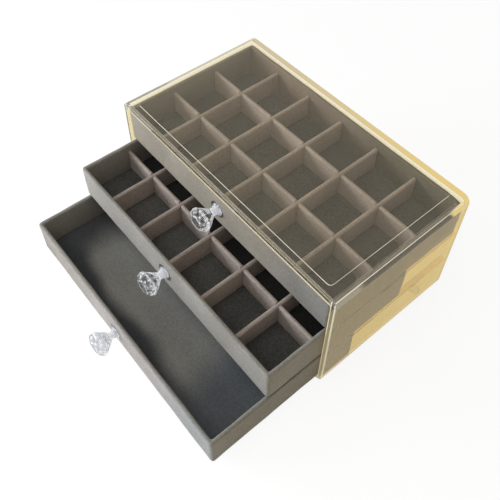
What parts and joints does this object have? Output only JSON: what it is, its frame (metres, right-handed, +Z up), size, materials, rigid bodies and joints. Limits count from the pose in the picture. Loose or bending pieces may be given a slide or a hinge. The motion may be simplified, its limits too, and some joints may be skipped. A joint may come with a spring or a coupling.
{
  "type": "tiered jewelry box",
  "caption": "Clear moulded case with velvet-covered drawers that slide out of its open front, divided trays inside and a faceted knob on each drawer.",
  "frame": {"origin": "middle of the table area that the box covers with its lower drawers part open, level with the undersides of its feet", "axes": "+X right along the front as seen from the front, the drawers open towards -Y, +Z up"},
  "size_m": [0.235, 0.2458, 0.1106],
  "materials": {
    "golden_acrylic": "polished clear acrylic with a pale golden tint",
    "clear_acrylic": "polished clear acrylic, faceted",
    "greige_velvet": "short-pile greige velvet over board",
    "lining_velvet": "short-pile dark greige velvet over board",
    "steel": "zinc plated",
    "silicone": "clear silicone, slightly cloudy"
  },
  "bodies": {
    "case": {"case_shell": "golden_acrylic", "bumper_foot_front_left": "silicone", "bumper_foot_front_right": "silicone", "bumper_foot_back_left": "silicone", "bumper_foot_back_right": "silicone"},
    "bottom_drawer": {"bottom_drawer_tray": "greige_velvet", "bottom_drawer_floor_lining": "lining_velvet", "bottom_drawer_knob": "clear_acrylic", "bottom_drawer_knob_screw": "steel"},
    "middle_drawer": {"middle_drawer_tray": "greige_velvet", "middle_drawer_floor_lining": "lining_velvet", "middle_drawer_long_divider_front": "greige_velvet", "middle_drawer_long_divider_back": "greige_velvet", "middle_drawer_cross_divider_1": "greige_velvet", "middle_drawer_cross_divider_2": "greige_velvet", "middle_drawer_cross_divider_3": "greige_velvet", "middle_drawer_cross_divider_4": "greige_velvet", "middle_drawer_cross_divider_5": "greige_velvet", "middle_drawer_knob": "clear_acrylic", "middle_drawer_knob_screw": "steel"},
    "top_drawer": {"top_drawer_tray": "greige_velvet", "top_drawer_floor_lining": "lining_velvet", "top_drawer_long_divider_front": "greige_velvet", "top_drawer_long_divider_back": "greige_velvet", "top_drawer_cross_divider_1": "greige_velvet", "top_drawer_cross_divider_2": "greige_velvet", "top_drawer_cross_divider_3": "greige_velvet", "top_drawer_cross_divider_4": "greige_velvet", "top_drawer_cross_divider_5": "greige_velvet", "top_drawer_knob": "clear_acrylic", "top_drawer_knob_screw": "steel"}
  },
  "joints": [
    {"name": "top_drawer_slide", "type": "slide", "parent": "case", "child": "top_drawer", "axis": [0, -1, 0], "range_m": [0, 0.1]},
    {"name": "middle_drawer_slide", "type": "slide", "parent": "case", "child": "middle_drawer", "axis": [0, -1, 0], "range_m": [-0.0493, 0.0507]},
    {"name": "bottom_drawer_slide", "type": "slide", "parent": "case", "child": "bottom_drawer", "axis": [0, -1, 0], "range_m": [-0.0958, 0.0042]}
  ]
}
